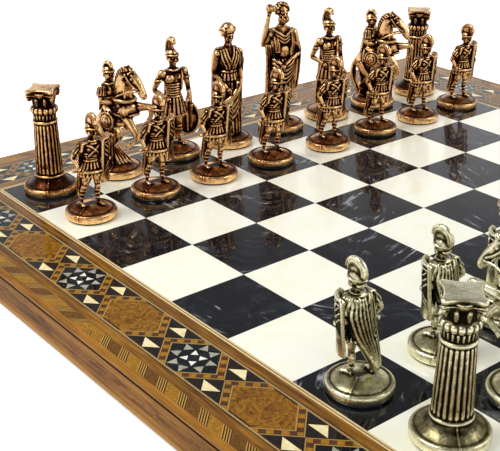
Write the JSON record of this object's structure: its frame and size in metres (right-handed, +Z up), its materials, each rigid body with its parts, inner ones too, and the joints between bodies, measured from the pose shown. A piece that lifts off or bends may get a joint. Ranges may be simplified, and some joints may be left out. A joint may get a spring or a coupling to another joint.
{
  "type": "chess set",
  "caption": "Chess set: an inlaid wooden board with a marquetry border and two armies of cast metal figures and columns, one copper and one silver in finish.",
  "frame": {"origin": "centre of the board's underside, on the plane of the felt feet", "axes": "+Z up from the table; the silver army stands along -Y and the copper army along +Y; +X is to the silver side's right"},
  "size_m": [0.37, 0.37, 0.0896],
  "materials": {
    "core": "plain birch ply, hidden",
    "walnut": "lacquered walnut, long grain",
    "golden_wood": "golden brown veneer under gloss lacquer",
    "burl": "golden burl veneer under gloss lacquer",
    "ebony": "ebony under gloss lacquer",
    "maple": "pale maple line under gloss lacquer",
    "banded_inlay": "strips of small yellow and brown blocks between pale lines",
    "hatched_inlay": "slanting pale lines on dark wood with yellow and brown blocks",
    "bone": "yellowish bone, polished",
    "cream_pearl": "cream mother of pearl under gloss lacquer",
    "white_pearl": "white mother of pearl under gloss lacquer",
    "grey_pearl": "grey mother of pearl under gloss lacquer",
    "black_pearl": "black pearl with pale streaks under gloss lacquer",
    "felt": "green felt",
    "copper": "cast zinc alloy plated in antique copper, dark in the recesses",
    "silver": "cast zinc alloy plated in antique silver, dark in the recesses"
  },
  "bodies": {
    "board": {"core_panel": "core", "backing_sheet": "walnut", "felt_feet": "felt", "edge_rail_near": "walnut", "edge_rail_far": "walnut", "edge_rail_left": "walnut", "edge_rail_right": "walnut", "light_squares": "cream_pearl", "dark_squares": "black_pearl", "cream_line": "maple", "dark_lines": "ebony", "inner_bead": "maple", "inner_strips": "golden_wood", "light_stringing": "maple", "outer_strips": "golden_wood", "hatched_strips": "hatched_inlay", "mosaic_ground": "ebony", "lattice_strips": "banded_inlay", "bone_triangles": "bone", "burl_hexagons": "burl", "star_plates": "black_pearl", "star_tips": "grey_pearl", "star_hearts": "white_pearl"},
    "copper_pawn_1": {"copper_pawn_1": "copper"},
    "copper_pawn_2": {"copper_pawn_2": "copper"},
    "copper_pawn_3": {"copper_pawn_3": "copper"},
    "copper_pawn_4": {"copper_pawn_4": "copper"},
    "copper_pawn_5": {"copper_pawn_5": "copper"},
    "copper_pawn_6": {"copper_pawn_6": "copper"},
    "copper_pawn_7": {"copper_pawn_7": "copper"},
    "copper_pawn_8": {"copper_pawn_8": "copper"},
    "copper_rook_1": {"copper_rook_1": "copper"},
    "copper_knight_1": {"copper_knight_1": "copper"},
    "copper_bishop_1": {"copper_bishop_1": "copper"},
    "copper_queen": {"copper_queen": "copper"},
    "copper_king": {"copper_king": "copper"},
    "copper_bishop_2": {"copper_bishop_2": "copper"},
    "copper_knight_2": {"copper_knight_2": "copper"},
    "copper_rook_2": {"copper_rook_2": "copper"},
    "silver_pawn_1": {"silver_pawn_1": "silver"},
    "silver_pawn_2": {"silver_pawn_2": "silver"},
    "silver_pawn_3": {"silver_pawn_3": "silver"},
    "silver_pawn_4": {"silver_pawn_4": "silver"},
    "silver_pawn_5": {"silver_pawn_5": "silver"},
    "silver_pawn_6": {"silver_pawn_6": "silver"},
    "silver_pawn_7": {"silver_pawn_7": "silver"},
    "silver_pawn_8": {"silver_pawn_8": "silver"},
    "silver_rook_1": {"silver_rook_1": "silver"},
    "silver_knight_1": {"silver_knight_1": "silver"},
    "silver_bishop_1": {"silver_bishop_1": "silver"},
    "silver_queen": {"silver_queen": "silver"},
    "silver_king": {"silver_king": "silver"},
    "silver_bishop_2": {"silver_bishop_2": "silver"},
    "silver_knight_2": {"silver_knight_2": "silver"},
    "silver_rook_2": {"silver_rook_2": "silver"}
  },
  "joints": [
    {"name": "copper_pawn_1_lift", "type": "slide", "parent": "board", "child": "copper_pawn_1", "axis": [0, 0, 1], "range_m": [0, 0.12]},
    {"name": "copper_pawn_2_lift", "type": "slide", "parent": "board", "child": "copper_pawn_2", "axis": [0, 0, 1], "range_m": [0, 0.12]},
    {"name": "copper_pawn_3_lift", "type": "slide", "parent": "board", "child": "copper_pawn_3", "axis": [0, 0, 1], "range_m": [0, 0.12]},
    {"name": "copper_pawn_4_lift", "type": "slide", "parent": "board", "child": "copper_pawn_4", "axis": [0, 0, 1], "range_m": [0, 0.12]},
    {"name": "copper_pawn_5_lift", "type": "slide", "parent": "board", "child": "copper_pawn_5", "axis": [0, 0, 1], "range_m": [0, 0.12]},
    {"name": "copper_pawn_6_lift", "type": "slide", "parent": "board", "child": "copper_pawn_6", "axis": [0, 0, 1], "range_m": [0, 0.12]},
    {"name": "copper_pawn_7_lift", "type": "slide", "parent": "board", "child": "copper_pawn_7", "axis": [0, 0, 1], "range_m": [0, 0.12]},
    {"name": "copper_pawn_8_lift", "type": "slide", "parent": "board", "child": "copper_pawn_8", "axis": [0, 0, 1], "range_m": [0, 0.12]},
    {"name": "copper_rook_1_lift", "type": "slide", "parent": "board", "child": "copper_rook_1", "axis": [0, 0, 1], "range_m": [0, 0.12]},
    {"name": "copper_knight_1_lift", "type": "slide", "parent": "board", "child": "copper_knight_1", "axis": [0, 0, 1], "range_m": [0, 0.12]},
    {"name": "copper_bishop_1_lift", "type": "slide", "parent": "board", "child": "copper_bishop_1", "axis": [0, 0, 1], "range_m": [0, 0.12]},
    {"name": "copper_queen_lift", "type": "slide", "parent": "board", "child": "copper_queen", "axis": [0, 0, 1], "range_m": [0, 0.12]},
    {"name": "copper_king_lift", "type": "slide", "parent": "board", "child": "copper_king", "axis": [0, 0, 1], "range_m": [0, 0.12]},
    {"name": "copper_bishop_2_lift", "type": "slide", "parent": "board", "child": "copper_bishop_2", "axis": [0, 0, 1], "range_m": [0, 0.12]},
    {"name": "copper_knight_2_lift", "type": "slide", "parent": "board", "child": "copper_knight_2", "axis": [0, 0, 1], "range_m": [0, 0.12]},
    {"name": "copper_rook_2_lift", "type": "slide", "parent": "board", "child": "copper_rook_2", "axis": [0, 0, 1], "range_m": [0, 0.12]},
    {"name": "silver_pawn_1_lift", "type": "slide", "parent": "board", "child": "silver_pawn_1", "axis": [0, 0, 1], "range_m": [0, 0.12]},
    {"name": "silver_pawn_2_lift", "type": "slide", "parent": "board", "child": "silver_pawn_2", "axis": [0, 0, 1], "range_m": [0, 0.12]},
    {"name": "silver_pawn_3_lift", "type": "slide", "parent": "board", "child": "silver_pawn_3", "axis": [0, 0, 1], "range_m": [0, 0.12]},
    {"name": "silver_pawn_4_lift", "type": "slide", "parent": "board", "child": "silver_pawn_4", "axis": [0, 0, 1], "range_m": [0, 0.12]},
    {"name": "silver_pawn_5_lift", "type": "slide", "parent": "board", "child": "silver_pawn_5", "axis": [0, 0, 1], "range_m": [0, 0.12]},
    {"name": "silver_pawn_6_lift", "type": "slide", "parent": "board", "child": "silver_pawn_6", "axis": [0, 0, 1], "range_m": [0, 0.12]},
    {"name": "silver_pawn_7_lift", "type": "slide", "parent": "board", "child": "silver_pawn_7", "axis": [0, 0, 1], "range_m": [0, 0.12]},
    {"name": "silver_pawn_8_lift", "type": "slide", "parent": "board", "child": "silver_pawn_8", "axis": [0, 0, 1], "range_m": [0, 0.12]},
    {"name": "silver_rook_1_lift", "type": "slide", "parent": "board", "child": "silver_rook_1", "axis": [0, 0, 1], "range_m": [0, 0.12]},
    {"name": "silver_knight_1_lift", "type": "slide", "parent": "board", "child": "silver_knight_1", "axis": [0, 0, 1], "range_m": [0, 0.12]},
    {"name": "silver_bishop_1_lift", "type": "slide", "parent": "board", "child": "silver_bishop_1", "axis": [0, 0, 1], "range_m": [0, 0.12]},
    {"name": "silver_queen_lift", "type": "slide", "parent": "board", "child": "silver_queen", "axis": [0, 0, 1], "range_m": [0, 0.12]},
    {"name": "silver_king_lift", "type": "slide", "parent": "board", "child": "silver_king", "axis": [0, 0, 1], "range_m": [0, 0.12]},
    {"name": "silver_bishop_2_lift", "type": "slide", "parent": "board", "child": "silver_bishop_2", "axis": [0, 0, 1], "range_m": [0, 0.12]},
    {"name": "silver_knight_2_lift", "type": "slide", "parent": "board", "child": "silver_knight_2", "axis": [0, 0, 1], "range_m": [0, 0.12]},
    {"name": "silver_rook_2_lift", "type": "slide", "parent": "board", "child": "silver_rook_2", "axis": [0, 0, 1], "range_m": [0, 0.12]}
  ]
}
